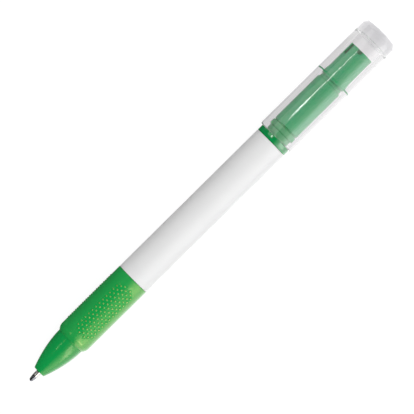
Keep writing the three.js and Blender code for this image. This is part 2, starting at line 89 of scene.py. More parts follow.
def turnOnPen(turn, along=0):
    # Turns about the pen's axis by turn degrees, from straight up towards -Y, and moves along it.
    back = Matrix.Translation((along * mm, 0, axisZ))
    return back @ Matrix.Rotation(math.radians(turn), 4, "X") @ Matrix.Translation((0, 0, -axisZ))


def arcPoints(along, radius, size, start, end, steps):
    # Points of an arc in an outline. 0 degrees points away from the axis, 90 towards the cap.
    points = []
    for i in range(steps + 1):
        angle = math.radians(start + (end - start) * i / steps)
        points.append((along + size * math.sin(angle), radius + size * math.cos(angle)))
    return points


def spinOutline(name, outline, steps=128):
    # Draws the outline by extruding one point, spins it round the pen's axis and closes the poles.
    deselectAll()
    bpy.ops.mesh.primitive_plane_add(size=mm, location=penPoint(*outline[0]))
    piece = bpy.context.object
    piece.name = name
    bpy.ops.object.mode_set(mode="EDIT")
    bpy.ops.mesh.select_all(action="SELECT")
    bpy.ops.mesh.merge(type="CENTER")
    for (along, radius), (nextAlong, nextRadius) in zip(outline, outline[1:]):
        move = ((nextAlong - along) * mm, 0, (nextRadius - radius) * mm)
        bpy.ops.mesh.extrude_region_move(TRANSFORM_OT_translate={"value": move})
    bpy.ops.mesh.select_all(action="SELECT")
    bpy.ops.mesh.spin(steps=steps, angle=2 * math.pi, center=(0, 0, axisZ), axis=(1, 0, 0))
    bpy.ops.mesh.select_all(action="SELECT")
    bpy.ops.mesh.remove_doubles(threshold=weldDistance)
    bpy.ops.mesh.normals_make_consistent(inside=False)
    bpy.ops.object.mode_set(mode="OBJECT")
    applyPlace(piece)
    return piece


def applyPlace(piece):
    makeActive(piece)
    bpy.ops.object.transform_apply(location=True, rotation=True, scale=True)


def applyModifier(piece, kind, **settings):
    makeActive(piece)
    modifier = piece.modifiers.new(kind.title(), kind)
    for key, value in settings.items():
        setattr(modifier, key, value)
    bpy.ops.object.modifier_apply(modifier=modifier.name)


def softenEdges(piece, width, angle=30, segments=3):
    # The small radius that a moulded or turned edge has.
    applyModifier(piece, "BEVEL", width=width * mm, segments=segments, limit_method="ANGLE",
                  angle_limit=math.radians(angle))


def shadeSmooth(piece, angle=40):
    makeActive(piece)
    bpy.ops.object.shade_smooth_by_angle(angle=math.radians(angle))
    # Flats keep one normal up to their softened edges.
    applyModifier(piece, "WEIGHTED_NORMAL", keep_sharp=True)


def joinPieces(pieces, name):
    deselectAll()
    for piece in pieces:
        piece.select_set(True)
    bpy.context.view_layer.objects.active = pieces[0]
    bpy.ops.object.join()
    joined = bpy.context.object
    joined.name = name
    return joined


def booleanCut(piece, cutter):
    applyModifier(piece, "BOOLEAN", operation="DIFFERENCE", object=cutter, solver="EXACT")
    bpy.data.objects.remove(cutter)


# Material helpers

noiseSpan = {"From Min": 0.3, "From Max": 0.7}   # where most values of a noise texture lie
waveRings = 20 / (2 * math.pi)                   # rings per metre of a wave texture at scale 1


def srgb(code):
    # A hex colour as the linear values that Blender takes.
    parts = [int(code[i:i + 2], 16) / 255 for i in (1, 3, 5)]
    linear = [p / 12.92 if p <= 0.04045 else ((p + 0.055) / 1.055) ** 2.4 for p in parts]
    return (*linear, 1)


def patternScale(size):
    # Scale of a noise texture whose grains are about size millimetres across.
    return 1 / (size * mm)


def addNode(material, kind, settings):
    # A setting is one of the node's properties or the value of an input, and another node's output
    # is linked to that input. Gives back the new node's outputs. A Mix node's factor is input 0, its
    # numbers are inputs 2 and 3 and output 0, its colours are inputs 6 and 7 and output 2.
    node = material.node_tree.nodes.new("ShaderNode" + kind)
    for key, value in settings.items():
        if isinstance(value, bpy.types.NodeSocket):
            material.node_tree.links.new(value, node.inputs[key])
        elif isinstance(key, str) and hasattr(node, key):
            setattr(node, key, value)
        else:
            node.inputs[key].default_value = value
    return node.outputs


def newMaterial(name):
    # Gives back an empty material and the output that reads each point's place on the piece.
    material = bpy.data.materials.new(name)
    material.use_nodes = True
    material.node_tree.nodes.clear()
    return material, addNode(material, "TexCoord", {})["Object"]


def finishMaterial(material, surface):
    addNode(material, "OutputMaterial", {"Surface": surface})
    return material


def mottle(material, pattern, first, second, span=noiseSpan):
    # Two near shades, mixed by a noise pattern.
    share = addNode(material, "MapRange", {"Value": pattern, **span})["Result"]
    return addNode(material, "Mix", {"data_type": "RGBA", 0: share, 6: srgb(first), 7: srgb(second)})[2]


# Materials

def mouldedPlastic(name, colour, darker, roughness, grain, relief, ior=1.53, subsurface=0.0,
                   glossTint="#ffffff", glossLevel=0.5, polish=0.0):
    # A moulded thermoplastic: even colour with a faint flow variation, and a fine skin of spark or
    # polishing marks from the mould that breaks up the gloss. grain and relief are the marks' size and
    # depth in millimetres, polish is the share of sharp gloss.
    material, place = newMaterial(name)
    flow = addNode(material, "TexNoise", {"Vector": place, "Scale": patternScale(9)})["Fac"]
    skin = addNode(material, "TexNoise", {"Vector": place, "Scale": patternScale(grain), "Detail": 3})["Fac"]
    rough = addNode(material, "MapRange", {"Value": skin, **noiseSpan, "To Min": roughness * 0.85,
                                           "To Max": roughness * 1.2})["Result"]
    bump = addNode(material, "Bump", {"Height": skin, "Distance": relief * mm})["Normal"]
    plastic = addNode(material, "BsdfPrincipled", {
        "Base Color": mottle(material, flow, darker, colour), "Roughness": rough, "Normal": bump,
        "IOR": ior, "Specular Tint": srgb(glossTint), "Specular IOR Level": glossLevel,
        "Coat Weight": polish, "Coat Roughness": 0.1, "Subsurface Weight": subsurface,
        "Subsurface Radius": (0.3, 1.0, 0.4), "Subsurface Scale": 0.6 * mm})["BSDF"]
    return finishMaterial(material, plastic)


def absGreenPolished():
    # ABS coloured in the mass, moulded in a polished tool: deep green with soft, clear highlights.
    return mouldedPlastic("absGreenPolished", "#00a24e", "#009e4c", 0.2, 0.6, 0.004, ior=1.58,
                          glossTint="#ffde84", glossLevel=0.3, polish=0.35)


def absWhiteSatin():
    # White ABS from a fine-ground tool: an even satin that spreads the highlight along the tube.
    return mouldedPlastic("absWhiteSatin", "#f0f0f0", "#eeeeee", 0.38, 0.25, 0.003, glossLevel=0.3)


def acetalMoulded():
    # Natural acetal, moulded: waxy off-white with a dull sheen, as on small mechanism parts.
    return mouldedPlastic("acetalMoulded", "#e9e6de", "#e2dfd6", 0.42, 0.3, 0.004, ior=1.48)


def tpeGreenMatte():
    # Thermoplastic rubber from an eroded tool: dull, slightly grainy skin. The ground between the domes
    # reflects less and is painted a shade darker, as painted shade in the recess; the dome tops are
    # painted paler, as a painted highlight, and shine.
    material, place = newMaterial("tpeGreenMatte")
    skin = addNode(material, "TexNoise", {"Vector": place, "Scale": patternScale(0.12), "Detail": 3})["Fac"]
    flow = addNode(material, "TexNoise", {"Vector": place, "Scale": patternScale(6)})["Fac"]
    pad = addNode(material, "Attribute", {"attribute_name": "padGround"})["Fac"]
    top = addNode(material, "Attribute", {"attribute_name": "domeTop"})["Fac"]
    body = mottle(material, flow, "#00a94f", "#00ad51")
    # Painted shade: the sunk ground between the domes is painted a shade darker.
    ground = addNode(material, "Mix", {"data_type": "RGBA", 0: pad, 6: body, 7: srgb("#00a94d")})[2]
    # Painted highlight: the dome tops are painted paler green.
    colour = addNode(material, "Mix", {"data_type": "RGBA", 0: top, 6: ground, 7: srgb("#30ae49")})[2]
    dull = addNode(material, "MapRange", {"Value": pad, "To Min": 1.0, "To Max": 0.3})["Result"]
    shine = addNode(material, "MapRange", {"Value": top, "To Min": 0.0, "To Max": 2.4})["Result"]
    level = addNode(material, "Math", {"operation": "MAXIMUM", 0: dull, 1: shine})[0]
    rough = addNode(material, "MapRange", {"Value": top, "To Min": 0.24, "To Max": 0.3})["Result"]
    bump = addNode(material, "Bump", {"Height": skin, "Distance": 0.003 * mm})["Normal"]
    rubber = addNode(material, "BsdfPrincipled", {
        "Base Color": colour, "Specular IOR Level": level, "Roughness": rough, "Normal": bump,
        "IOR": 1.55, "Specular Tint": srgb("#ffd9a0")})["BSDF"]
    return finishMaterial(material, rubber)


def ventFloors(material, place, floorRadius):
    # 1 on the floors of the inner cap's vents, which are painted dark as painted shade: nearer to the axis
    # than its skin, and close to its flat end but not on it. floorRadius is in millimetres.
    zone, fade, thin = 5 * mm, 0.1 * mm, 0.02 * mm
    flatEnd = tipX + linerRear * mm
    along, across, upward = addNode(material, "SeparateXYZ", {"Vector": place})
    height = addNode(material, "Math", {"operation": "SUBTRACT", 0: upward, 1: axisZ})[0]
    spoke = addNode(material, "CombineXYZ", {"Y": across, "Z": height})[0]
    radius = addNode(material, "VectorMath", {"operation": "LENGTH", 0: spoke})["Value"]
    low = addNode(material, "MapRange", {
        "Value": radius, "From Min": floorRadius * mm + fade, "From Max": floorRadius * mm + 2 * fade,
        "To Min": 1, "To Max": 0})["Result"]
    near = addNode(material, "MapRange", {
        "Value": along, "From Min": flatEnd - zone, "From Max": flatEnd - zone + fade})["Result"]
    inside = addNode(material, "MapRange", {
        "Value": along, "From Min": flatEnd - 2 * thin, "From Max": flatEnd - thin,
        "To Min": 1, "To Max": 0})["Result"]
    lowNear = addNode(material, "Math", {"operation": "MULTIPLY", 0: low, 1: near})[0]
    return addNode(material, "Math", {"operation": "MULTIPLY", 0: lowNear, 1: inside})[0]


def styreneGreenTranslucent(ventRadius=0.0):
    # Polystyrene with a little green dye, polished: light enters it, so its edges glow lighter. The
    # solid collar and neck are deeper green than the thin tubes, and the floors of the sunk vents are
    # painted dark green as painted shade. ventRadius is the radius of the vents' floors in millimetres,
    # where the piece has any.
    material, place = newMaterial("styreneGreenTranslucent")
    flow = addNode(material, "TexNoise", {"Vector": place, "Scale": patternScale(5)})["Fac"]
    skin = addNode(material, "TexNoise", {"Vector": place, "Scale": patternScale(0.5)})["Fac"]
    along = addNode(material, "SeparateXYZ", {"Vector": place})["X"]
    tubeFront = tipX + (capFront + holder["neckLead"] + holder["beadLength"]) * mm
    thin = addNode(material, "MapRange", {
        "Value": along, "From Min": tubeFront, "From Max": tubeFront + holder["shoulder"] * mm})["Result"]
    tube = addNode(material, "Mix", {"data_type": "RGBA", 0: flow, 6: srgb("#14a662"), 7: srgb("#1cac68")})[2]
    body = addNode(material, "Mix", {"data_type": "RGBA", 0: thin, 6: srgb("#00a052"), 7: tube})[2]
    sunk = ventFloors(material, place, ventRadius)
    # Painted shade: the floors of the vents are painted dark green.
    colour = addNode(material, "Mix", {"data_type": "RGBA", 0: sunk, 6: body, 7: srgb("#00602c")})[2]
    rough = addNode(material, "MapRange", {
        "Value": skin, **noiseSpan, "To Min": 0.05, "To Max": 0.09})["Result"]
    level = addNode(material, "MapRange", {"Value": thin, "To Min": 0.85, "To Max": 0.5})["Result"]
    bump = addNode(material, "Bump", {"Height": skin, "Distance": 0.0008 * mm})["Normal"]
    plastic = addNode(material, "BsdfPrincipled", {
        "Base Color": colour, "Roughness": rough, "Specular IOR Level": level, "Normal": bump,
        "IOR": 1.59, "Transmission Weight": 0.12, "Subsurface Weight": 0.5,
        "Subsurface Radius": (0.25, 1.0, 0.4), "Subsurface Scale": 1.2 * mm})["BSDF"]
    return finishMaterial(material, plastic)


def sanClearPolished():
    # Clear styrene-acrylonitrile from a polished tool: sharp reflections. Its solid end is painted
    # greyer, as painted shade for the darker floor seen through it and for the longer path through the
    # plastic. It casts almost no shadow on what it covers.
    material, place = newMaterial("sanClearPolished")
    flow = addNode(material, "TexNoise", {"Vector": place, "Scale": patternScale(7)})["Fac"]
    skin = addNode(material, "TexNoise", {"Vector": place, "Scale": patternScale(1.5)})["Fac"]
    along = addNode(material, "SeparateXYZ", {"Vector": place})["X"]
    solidEnd = tipX + (capRear - cap["endWall"]) * mm
    solid = addNode(material, "MapRange", {
        "Value": along, "From Min": solidEnd - mm, "From Max": solidEnd + mm})["Result"]
    wall = addNode(material, "Mix", {"data_type": "RGBA", 0: flow, 6: srgb("#f8f7f8"), 7: srgb("#faf9fa")})[2]
    # Painted shade: the solid end is tinted grey.
    colour = addNode(material, "Mix", {"data_type": "RGBA", 0: solid, 6: wall, 7: srgb("#eae9ec")})[2]
    rough = addNode(material, "MapRange", {
        "Value": skin, **noiseSpan, "To Min": 0.01, "To Max": 0.035})["Result"]
    bump = addNode(material, "Bump", {"Height": skin, "Distance": 0.004 * mm})["Normal"]
    plastic = addNode(material, "BsdfPrincipled", {
        "Base Color": colour, "Roughness": rough, "Normal": bump, "IOR": 1.57,
        "Transmission Weight": 1.0})["BSDF"]
    shadow = addNode(material, "LightPath", {})["Is Shadow Ray"]
    share = addNode(material, "Math", {"operation": "MULTIPLY", 0: shadow, 1: 0.92})[0]
    clear = addNode(material, "BsdfTransparent", {"Color": srgb("#f2f1f1")})[0]
    return finishMaterial(material, addNode(material, "MixShader", {0: share, 1: plastic, 2: clear})[0])


def turnedMetal(name, colour, stained, roughness, pitch, paintedShadeRear=None):
    # A metal with turned or drawn rings, too fine to see one by one, that stretch its highlights.
    # They are drawn several times coarser than real, pitch millimetres apart, so that they show. In
    # front of the station given as the last argument, in millimetres from the pen's tip, it is painted
    # darker grey as painted shade.
    material, place = newMaterial(name)
    rings = addNode(material, "TexWave", {
        "wave_type": "BANDS", "bands_direction": "X", "Vector": place,
        "Scale": patternScale(pitch) / waveRings, "Distortion": 0.4, "Detail": 1})["Fac"]
    stain = addNode(material, "TexNoise", {"Vector": place, "Scale": patternScale(0.8)})["Fac"]
    base = addNode(material, "Mix", {"data_type": "RGBA", 0: stain, 6: srgb(colour), 7: srgb(stained)})[2]
    if paintedShadeRear is not None:
        along = addNode(material, "SeparateXYZ", {"Vector": place})["X"]
        edge = tipX + paintedShadeRear * mm
        # Painted shade: the cone is painted darker grey.
        film = addNode(material, "MapRange", {
            "Value": along, "From Min": edge - 0.3 * mm, "From Max": edge,
            "To Min": 1, "To Max": 0})["Result"]
        base = addNode(material, "Mix", {"data_type": "RGBA", 0: film, 6: base, 7: srgb("#6c6d71")})[2]
    rough = addNode(material, "MapRange", {
        "Value": stain, "From Min": 0.2, "From Max": 0.8,
        "To Min": roughness * 0.8, "To Max": roughness * 1.3})["Result"]
    bump = addNode(material, "Bump", {"Height": rings, "Distance": 0.002 * mm})["Normal"]
    metal = addNode(material, "BsdfPrincipled", {
        "Base Color": base, "Roughness": rough, "Normal": bump, "Metallic": 1.0})["BSDF"]
    return finishMaterial(material, metal)


def nickelSilverTurned(coneRear):
    # Nickel silver, turned and tumbled: a warm white metal with bright, slightly drawn-out highlights,
    # its cone painted darker grey as painted shade.
    return turnedMetal("nickelSilverTurned", "#b9b7b3", "#a19f9b", 0.26, 0.50265, coneRear)


def springSteelDrawn():
    # Hard-drawn spring wire: grey, its gloss broken up by die marks.
    return turnedMetal("springSteelDrawn", "#8f9194", "#b3b3b2", 0.32, 0.31416)


def carbidePolished():
    # Tungsten carbide, lapped and inked: a near-black mirror with a blue film of ink.
    material, place = newMaterial("carbidePolished")
    film = addNode(material, "TexNoise", {"Vector": place, "Scale": patternScale(0.35)})["Fac"]
    colour = mottle(material, film, "#3a3b40", "#1c2446", {"From Min": 0.35, "From Max": 0.6})
    rough = addNode(material, "MapRange", {
        "Value": film, **noiseSpan, "To Min": 0.12, "To Max": 0.3})["Result"]
    ball = addNode(material, "BsdfPrincipled", {"Base Color": colour, "Roughness": rough,
                                                "Metallic": 0.85})["BSDF"]
    return finishMaterial(material, ball)


def polypropyleneNatural():
    # Extruded polypropylene tube: milky and faintly uneven.
    return mouldedPlastic("polypropyleneNatural", "#e3e4de", "#dadcd6", 0.3, 0.8, 0.003, ior=1.49,
                          subsurface=0.4)


def ballpointPaste():
    # Thick blue writing paste: glossy, nearly black where it is deep.
    return mouldedPlastic("ballpointPaste", "#17286f", "#101c50", 0.15, 1.2, 0.002, ior=1.5)


def nitrileMoulded():
    # Nitrile rubber ring: black, greased, softly shiny.
    return mouldedPlastic("nitrileMoulded", "#1d1d1e", "#161617", 0.45, 0.2, 0.003, ior=1.5)


def fibreMaterial(name, colour, darker, strand):
    # Bonded polyester fibre: strands run along the rod, drawn a little coarser than real.
    material, place = newMaterial(name)
    lengthened = addNode(material, "Mapping", {"Vector": place, "Scale": (0.12, 1, 1)})[0]
    strands = addNode(material, "TexNoise", {"Vector": lengthened, "Scale": patternScale(strand),
                                             "Detail": 3})["Fac"]
    bump = addNode(material, "Bump", {"Height": strands, "Distance": 0.03 * mm})["Normal"]
    fibre = addNode(material, "BsdfPrincipled", {
        "Base Color": mottle(material, strands, darker, colour), "Normal": bump, "IOR": 1.45,
        "Roughness": 0.9, "Sheen Weight": 0.2, "Subsurface Weight": 0.3,
        "Subsurface Radius": (1.0, 1.0, 0.4), "Subsurface Scale": 0.5 * mm})["BSDF"]
    return finishMaterial(material, fibre)


def feltInked():
    # Chisel nib soaked with fluorescent green ink.
    return fibreMaterial("feltInked", "#a5f04a", "#7fd632", 0.12)


def fibreReservoirInked():
    # Reservoir rod of the same ink, paler because it is loosely packed.
    return fibreMaterial("fibreReservoirInked", "#b7ee73", "#93d85a", 0.25)


def finishPiece(piece, material, body, slot, *nodes):
    piece.data.materials.clear()
    piece.data.materials.append(material)
    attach(piece, body)
    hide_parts(*nodes)


# Ball and metal point

point = {
    "ballRadius": 0.5,
    "socketGap": 0.03,       # ball to its socket
    "socketDepth": 1.05,
    "ductFront": 1.25,
    "lip": 0.38,             # how far the ball stands out of the lip
    "lipGap": 0.005,
    "lipRadius": 0.6,
    "lipWall": 0.05,
    "lipRise": 0.02,         # the rolled lip bulges forwards by this
    "lipFall": 0.03,         # and its outer edge lies back by this
    "coneRear": 2.23,
    "neckRadius": 0.86,
    "neckRing": 0.9,         # a ring this far in front of the step keeps the neck's shine even
    "stepFront": noseFront + 3.0,
    "stepLength": 0.2,
    "stepRadius": 1.15,
    "stemLength": 2.4,       # the part that plugs into the refill tube
    "stemRadius": 1.0,
    "ductRadius": 0.3,
    "edge": 0.03,
}


def makeBall():
    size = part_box("writing_ball")
    radius = (size[1].z - size[0].z) / 2
    deselectAll()
    bpy.ops.mesh.primitive_ico_sphere_add(subdivisions=4, radius=radius, location=penPoint(radius / mm, 0))
    ball = bpy.context.object
    ball.name = "ballCarbide"
    applyPlace(ball)
    shadeSmooth(ball, 60)
    finishPiece(ball, carbidePolished(), "ball", "carbide", "writing_ball")


def makePoint():
    ball = point["ballRadius"]
    mouth = ball + point["lipGap"]
    socket = ball + point["socketGap"]
    stemFront = pointRear - point["stemLength"]
    # Outside: rolled lip, cone, neck, step and stem. Inside: ink duct and socket.
    outline = [
        (point["lip"], mouth), (point["lip"] - point["lipRise"], ball + point["lipWall"]),
        (point["lip"] + point["lipFall"], point["lipRadius"]), (point["coneRear"], point["neckRadius"]),
        (point["stepFront"] - point["neckRing"], point["neckRadius"]),
        (point["stepFront"], point["neckRadius"]),
        (point["stepFront"] + point["stepLength"], point["stepRadius"]),
        (stemFront, point["stepRadius"]), (stemFront, point["stemRadius"]),
        (pointRear, point["stemRadius"]), (pointRear, point["ductRadius"]),
        (point["ductFront"], point["ductRadius"]), (point["socketDepth"], socket), (ball, socket),
        (point["lip"], mouth),
    ]
    tip = spinOutline("pointNickelSilver", outline, 96)
    softenEdges(tip, point["edge"], 20)
    shadeSmooth(tip)
    finishPiece(tip, nickelSilverTurned(point["coneRear"]), "refill", "nickel_silver", "ballpoint_tip")


print("scene: ball and point")
makeBall()
makePoint()


# Nose cone

nose = {
    "frontRadius": 2.0,
    "endRadius": 4.78,
    "fullness": 1.83,        # exponent of the outline
    "steps": 28,
    "throatRadius": 1.05,
    "throatLength": 2.7,
    "throatStep": 0.2,
    "boreRadius": 1.35,
    "seatDepth": 5.0,
    "chamberRadius": 2.3,
    "chamberRear": 31.6,
    "chamberStep": 1.0,
    "rearBoreRadius": 3.3,
    "gripSeatRadius": 4.45,
    "spigotRadius": 4.63,
    "spigotGap": 0.1,        # from the barrel's front edge
    "leadLength": 0.4,       # the chamfer that helps the spigot into the barrel
    "leadDepth": 0.3,
    "edge": 0.16,
}


def makeNose():
    rise = nose["endRadius"] - nose["frontRadius"]
    outside = []
    for i in range(nose["steps"] + 1):
        share = i / nose["steps"]
        radius = nose["endRadius"] - rise * (1 - share) ** nose["fullness"]
        outside.append((noseFront + share * (gripFront - noseFront), radius))
    outline = [
        (noseFront, nose["throatRadius"]), *outside,
        (gripFront, nose["gripSeatRadius"]), (gripRear, nose["gripSeatRadius"]),
        (barrelFront + nose["spigotGap"], nose["spigotRadius"]),
        (noseRear - nose["leadLength"], nose["spigotRadius"]),
        (noseRear, nose["spigotRadius"] - nose["leadDepth"]), (noseRear, nose["rearBoreRadius"]),
        (nose["chamberRear"] + nose["chamberStep"], nose["rearBoreRadius"]),
        (nose["chamberRear"], nose["chamberRadius"]),
        (noseFront + nose["seatDepth"], nose["chamberRadius"]),
        (noseFront + nose["seatDepth"], nose["boreRadius"]),
        (noseFront + nose["throatLength"], nose["boreRadius"]),
        (noseFront + nose["throatLength"] - nose["throatStep"], nose["throatRadius"]),
        (noseFront, nose["throatRadius"]),
    ]
    cone = spinOutline("noseConeAbs", outline, 160)
    softenEdges(cone, nose["edge"], 40)
    shadeSmooth(cone)
    finishPiece(cone, absGreenPolished(), "writing_half", "green_abs", "nose_cone")


print("scene: nose cone")
makeNose()


# Rubber grip with three pads of domes

grip = {
    "radius": 5.65,
    "boreRadius": 4.5,
    "frontRadius": 4.78,
    "shoulder": 3.0,         # radius of the front shoulder
    "edge": 0.12,
    "padTilt": 11.0,         # degrees from straight up towards -Y
    "padTurns": (0, 124, 236),
    "padCentre": 13.62,      # from the grip's front edge
    "rows": (12, 13, 14, 13, 14, 13, 12),
    "rowAngle": 10.5,
    "domePitch": 1.49,
    "domeRadius": 0.32,
    "domeHeight": 0.15,
    "domeRoot": 0.12,
    "padRecess": 0.07,
    "padReach": 0.78,        # how far the sunk ground reaches round each dome
    "padSlope": 0.25,        # width of its border
    "skin": 0.05,            # only points this close to the radius are sunk
    "groundFade": 0.15,      # width over which its finish changes
    "topStart": 0.04,        # where a dome's paler, shinier top begins, above the ground; its paler colour is a painted highlight
    "topFade": 0.08,
    "topMargin": 0.05,       # how far past a dome's foot its finish may reach
    "ringSpacing": 0.3725,
}


def domeRows():
    # Turn of each lengthwise row about the pen in degrees, its first dome's place and its count.
    middle = (len(grip["rows"]) - 1) / 2
    for pad in grip["padTurns"]:
        for row, count in enumerate(grip["rows"]):
            turn = grip["padTilt"] + pad + (row - middle) * grip["rowAngle"]
            yield turn, grip["padCentre"] - (count - 1) / 2 * grip["domePitch"], count


def makeSleeve():
    rise = grip["radius"] - grip["frontRadius"]
    startAngle = math.degrees(math.acos(1 - rise / grip["shoulder"]))
    shoulderRear = gripFront + grip["shoulder"] * math.sin(math.radians(startAngle))
    shoulder = arcPoints(shoulderRear, grip["radius"] - grip["shoulder"], grip["shoulder"],
                         -startAngle, 0, 12)
    # Close rings give the sleeve the points that its pads are sunk with.
    rings = int((gripRear - grip["edge"] - shoulderRear) / grip["ringSpacing"])
    spacing = (gripRear - shoulderRear) / rings
    skin = [(shoulderRear + i * spacing, grip["radius"]) for i in range(1, rings + 1)]
    outline = [(gripFront, grip["boreRadius"]), *shoulder, *skin,
               (gripRear, grip["boreRadius"]), (gripFront, grip["boreRadius"])]
    sleeve = spinOutline("gripSleeve", outline, 192)
    softenEdges(sleeve, grip["edge"], 50)
    return sleeve


def padDistance(points):
    # Distance of each point from the nearest dome, along the sleeve's surface, in millimetres.
    along = (points[:, 0] - tipX) / mm
    angle = np.arctan2(-points[:, 1], points[:, 2] - axisZ)
    nearest = np.full(len(points), np.inf)
    for turn, start, count in domeRows():
        offset = np.angle(np.exp(1j * (angle - math.radians(turn))))
        for i in range(count):
            dome = gripFront + start + i * grip["domePitch"]
            nearest = np.minimum(nearest, np.hypot(along - dome, offset * grip["radius"]))
    return nearest


def meshPoints(piece):
    points = np.empty(len(piece.data.vertices) * 3)
    piece.data.vertices.foreach_get("co", points)
    return points.reshape(-1, 3)


def radiusOf(points):
    return np.hypot(points[:, 1], points[:, 2] - axisZ) / mm


def sinkPads(sleeve):
    # The ground of each pad lies a little deeper, with a scalloped border that follows its domes.
    points = meshPoints(sleeve)
    radius = radiusOf(points)
    onSkin = radius > grip["radius"] - grip["skin"]
    share = np.clip((grip["padReach"] - padDistance(points)) / grip["padSlope"], 0, 1)
    depth = grip["padRecess"] * share * share * (3 - 2 * share) * onSkin
    scale = (radius - depth) / radius
    points[:, 1] *= scale
    points[:, 2] = axisZ + (points[:, 2] - axisZ) * scale
    sleeve.data.vertices.foreach_set("co", points.ravel())
    sleeve.data.update()


def makeDome():
    # One dome: the top of a flattened ball that starts a little under the sunk ground.
    deselectAll()
    bpy.ops.mesh.primitive_uv_sphere_add(segments=12, ring_count=8, radius=grip["domeRadius"] * mm,
                                         location=penPoint(gripFront, grip["radius"] - grip["padRecess"]))
    dome = bpy.context.object
    dome.scale = (1, 1, (grip["domeHeight"] + grip["padRecess"]) / grip["domeRadius"])
    applyPlace(dome)
    bpy.ops.object.mode_set(mode="EDIT")
    bpy.ops.mesh.select_all(action="SELECT")
    bpy.ops.mesh.bisect(plane_co=penPoint(gripFront, grip["radius"] - grip["domeRoot"]), plane_no=(0, 0, 1),
                        clear_inner=True, use_fill=True)
    bpy.ops.object.mode_set(mode="OBJECT")
    return dome


def makeDomes():
    dome = makeDome()
    rows = []
    for turn, start, count in domeRows():
        row = bpy.data.objects.new("domeRow", dome.data.copy())
        bpy.context.scene.collection.objects.link(row)
        applyModifier(row, "ARRAY", count=count, use_relative_offset=False, use_constant_offset=True,
                      constant_offset_displace=(grip["domePitch"] * mm, 0, 0))
        row.data.transform(turnOnPen(turn, start))
        rows.append(row)
    bpy.data.objects.remove(dome)
    return joinPieces(rows, "gripDomes")


def paintPads(piece):
    # Two attributes that the rubber's finish reads: the ground of the pads and the domes' tops.
    points = meshPoints(piece)
    distance = padDistance(points)
    height = radiusOf(points) - (grip["radius"] - grip["padRecess"])
    ground = np.clip((grip["padReach"] - distance) / grip["groundFade"], 0, 1)
    top = np.clip((height - grip["topStart"]) / grip["topFade"], 0, 1)
    top *= distance < grip["domeRadius"] + grip["topMargin"]
    for name, values in (("padGround", ground), ("domeTop", top)):
        attribute = piece.data.attributes.new(name, "FLOAT", "POINT")
        attribute.data.foreach_set("value", values.astype(np.float32))


def makeGrip():
    sleeve = makeSleeve()
    sinkPads(sleeve)
    piece = joinPieces([sleeve, makeDomes()], "gripRubber")
    paintPads(piece)
    shadeSmooth(piece)
    finishPiece(piece, tpeGreenMatte(), "writing_half", "green_rubber", "rubber_grip")


print("scene: rubber grip")
makeGrip()


# White barrel

barrel = {
    "radius": 5.58,
    "boreRadius": 4.68,
    "waistRadius": 4.38,     # thicker wall in the middle
    "waistGap": 0.1,         # to the guide sleeve
    "spigot": 7.2,
    "edge": 0.09,
}


def makeBarrel():
    waistFront = barrelFront + barrel["spigot"]
    waistRear = guideFront - barrel["waistGap"]
    outline = [
        (barrelFront, barrel["boreRadius"]), (barrelFront, barrel["radius"]),
        (barrelRear, barrel["radius"]), (barrelRear, barrel["boreRadius"]),
        (waistRear, barrel["boreRadius"]), (waistRear, barrel["waistRadius"]),
        (waistFront, barrel["waistRadius"]), (waistFront, barrel["boreRadius"]),
        (barrelFront, barrel["boreRadius"]),
    ]
    piece = spinOutline("barrelTube", outline, 160)
    softenEdges(piece, barrel["edge"], 40)
    shadeSmooth(piece)
    finishPiece(piece, absWhiteSatin(), "writing_half", "white_abs", "barrel")


print("scene: barrel")
makeBarrel()


# Highlighter: holder, nib section and nib

holder = {
    "keyRadius": 2.3,
    "journalRadius": 3.6,
    "journalLead": 0.15,     # journal's front to the rear bush
    "grooveRadius": 2.9,
    "grooveWidth": 1.1,
    "ringGap": 0.08,         # barrel to the collar
    "ringRadius": 5.58,
    "ringLength": 1.95,
    "neckRadius": 4.1,       # on both sides of the snap bead
    "neckLead": 2.0,         # ring to bead
    "beadRadius": 4.6,
    "beadLength": 2.2,
    "beadRamp": 0.35,
    "beadGap": 0.1,          # bead to the tube's shoulder
    "radius": 4.5,
    "shoulder": 0.4,         # rounding of the tube's front end
    "mouthRound": 0.4,       # and of its rear end
    "boreRadius": 3.7,
    "floor": 1.45,           # the bore's bottom, from the ring's front
    "edge": 0.12,
}


def makeHolder():
    journalFront = bushFront - holder["journalLead"]
    grooveFront = (bushFront + bushRear - holder["grooveWidth"]) / 2
    grooveRear = grooveFront + holder["grooveWidth"]
    ringFront = barrelRear + holder["ringGap"]
    ringRear = ringFront + holder["ringLength"]
    beadFront = ringRear + holder["neckLead"]
    beadRear = beadFront + holder["beadLength"]
    neckRear = beadRear + holder["beadGap"]
    floor = ringFront + holder["floor"]
    outline = [
        (holderFront, 0), (holderFront, holder["keyRadius"]), (journalFront, holder["keyRadius"]),
        (journalFront, holder["journalRadius"]), (grooveFront, holder["journalRadius"]),
        (grooveFront, holder["grooveRadius"]), (grooveRear, holder["grooveRadius"]),
        (grooveRear, holder["journalRadius"]), (ringFront, holder["journalRadius"]),
        (ringFront, holder["ringRadius"]), (ringRear, holder["ringRadius"]),
        (ringRear, holder["neckRadius"]), (beadFront, holder["neckRadius"]),
        (beadFront + holder["beadRamp"], holder["beadRadius"]),
        (beadRear - holder["beadRamp"], holder["beadRadius"]), (beadRear, holder["neckRadius"]),
        *arcPoints(neckRear + holder["shoulder"], holder["radius"] - holder["shoulder"],
                   holder["shoulder"], -90, 0, 5),
        *arcPoints(holderRear - holder["mouthRound"], holder["radius"] - holder["mouthRound"],
                   holder["mouthRound"], 0, 90, 4),
        (holderRear, holder["boreRadius"]), (floor, holder["boreRadius"]), (floor, 0),
    ]
    piece = spinOutline("highlighterHolder", outline, 160)
    softenEdges(piece, holder["edge"], 25)
    shadeSmooth(piece)
    finishPiece(piece, styreneGreenTranslucent(), "highlighter_half", "clear_green", "highlighter_holder")


